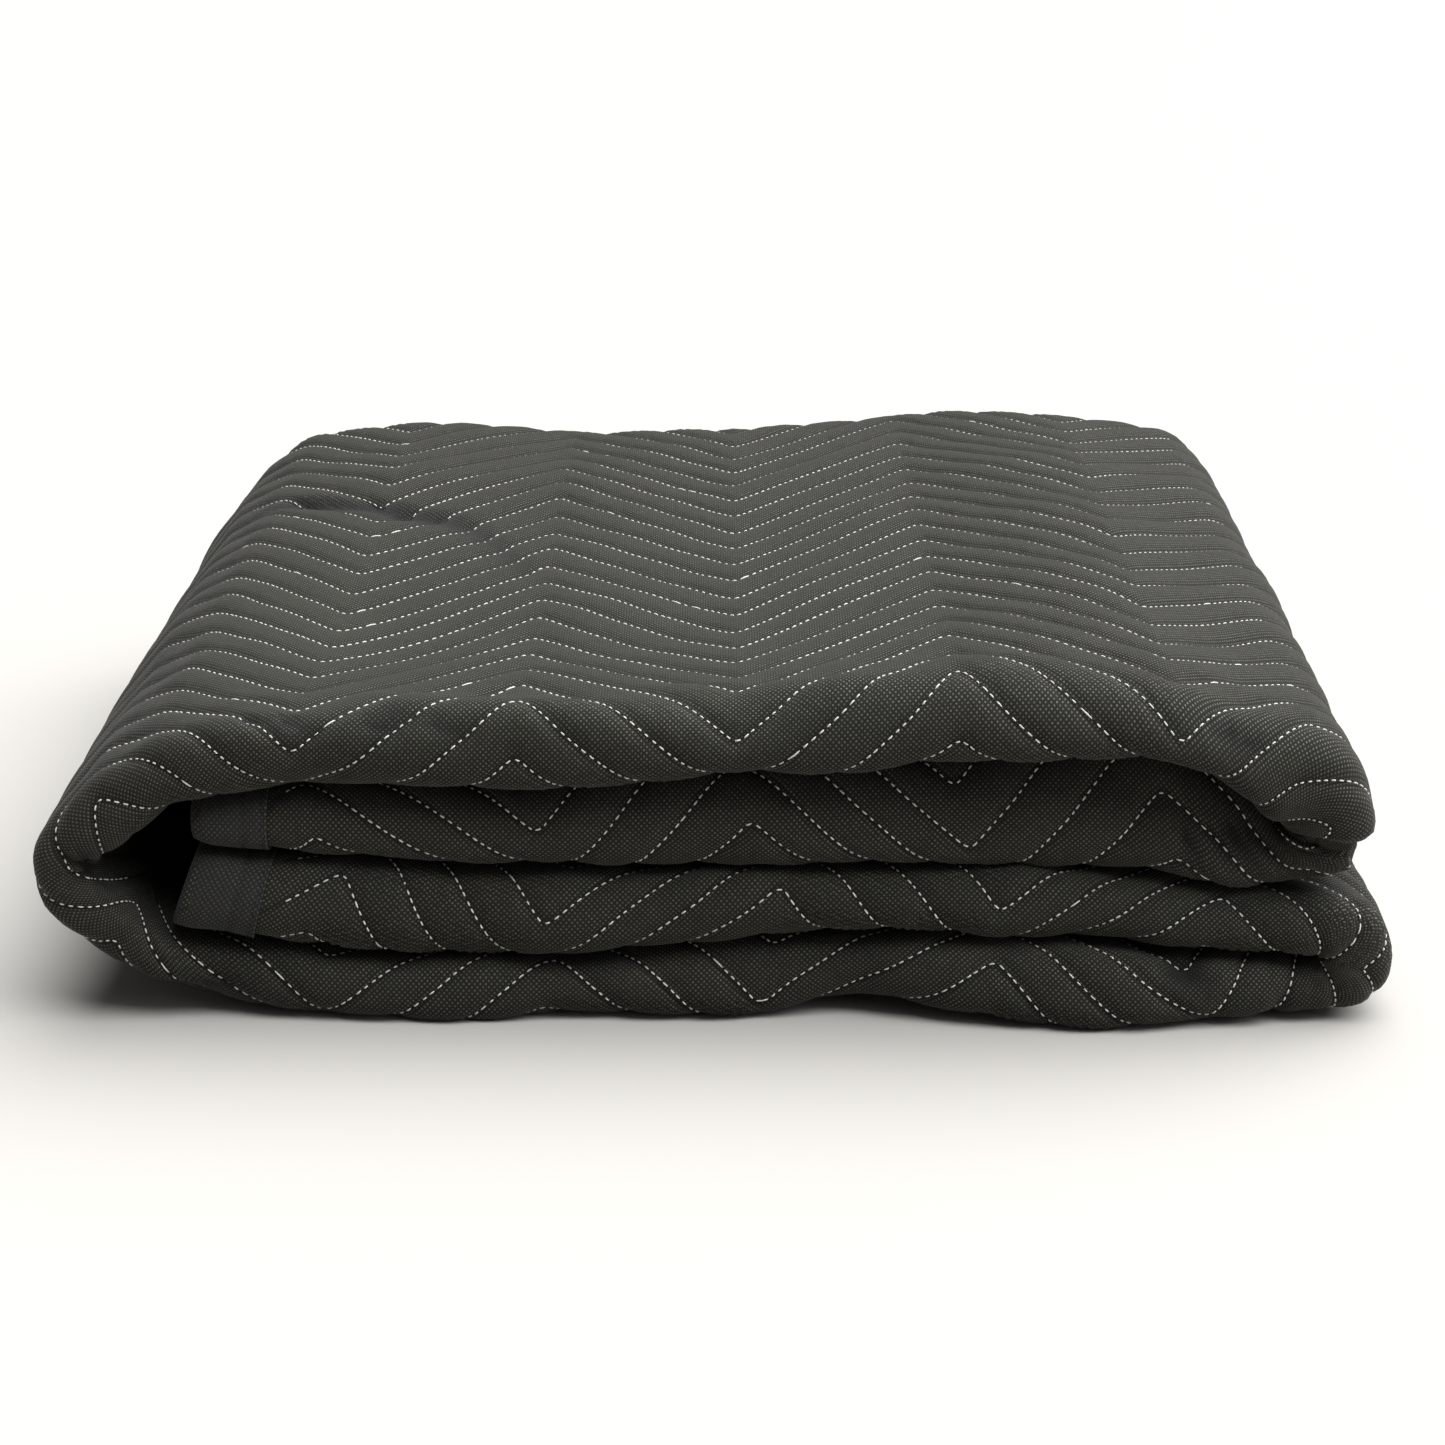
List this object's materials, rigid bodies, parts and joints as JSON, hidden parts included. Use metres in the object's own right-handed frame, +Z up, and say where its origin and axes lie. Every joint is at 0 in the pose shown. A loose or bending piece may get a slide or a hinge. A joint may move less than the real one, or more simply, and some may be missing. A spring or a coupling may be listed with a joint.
{
  "type": "moving blanket",
  "caption": "Dark grey quilted moving blanket, folded into a flat stack with its big folds in front, both cut ends bound and tucked inside the wrap.",
  "frame": {"origin": "centre of the folded stack, on the surface it lies on", "axes": "+Z up; the stack's long side runs along X, with the wrap that holds the cut ends at -X; the big front folds face -Y"},
  "size_m": [0.5176, 0.4654, 0.1424],
  "materials": {
    "quilted_nonwoven": "point-bonded nonwoven, quilted, matte",
    "binding_tape": "point-bonded nonwoven tape, matte"
  },
  "bodies": {
    "root": {"quilted_blanket": "quilted_nonwoven", "upper_end_binding": "binding_tape", "lower_end_binding": "binding_tape"}
  },
  "joints": []
}
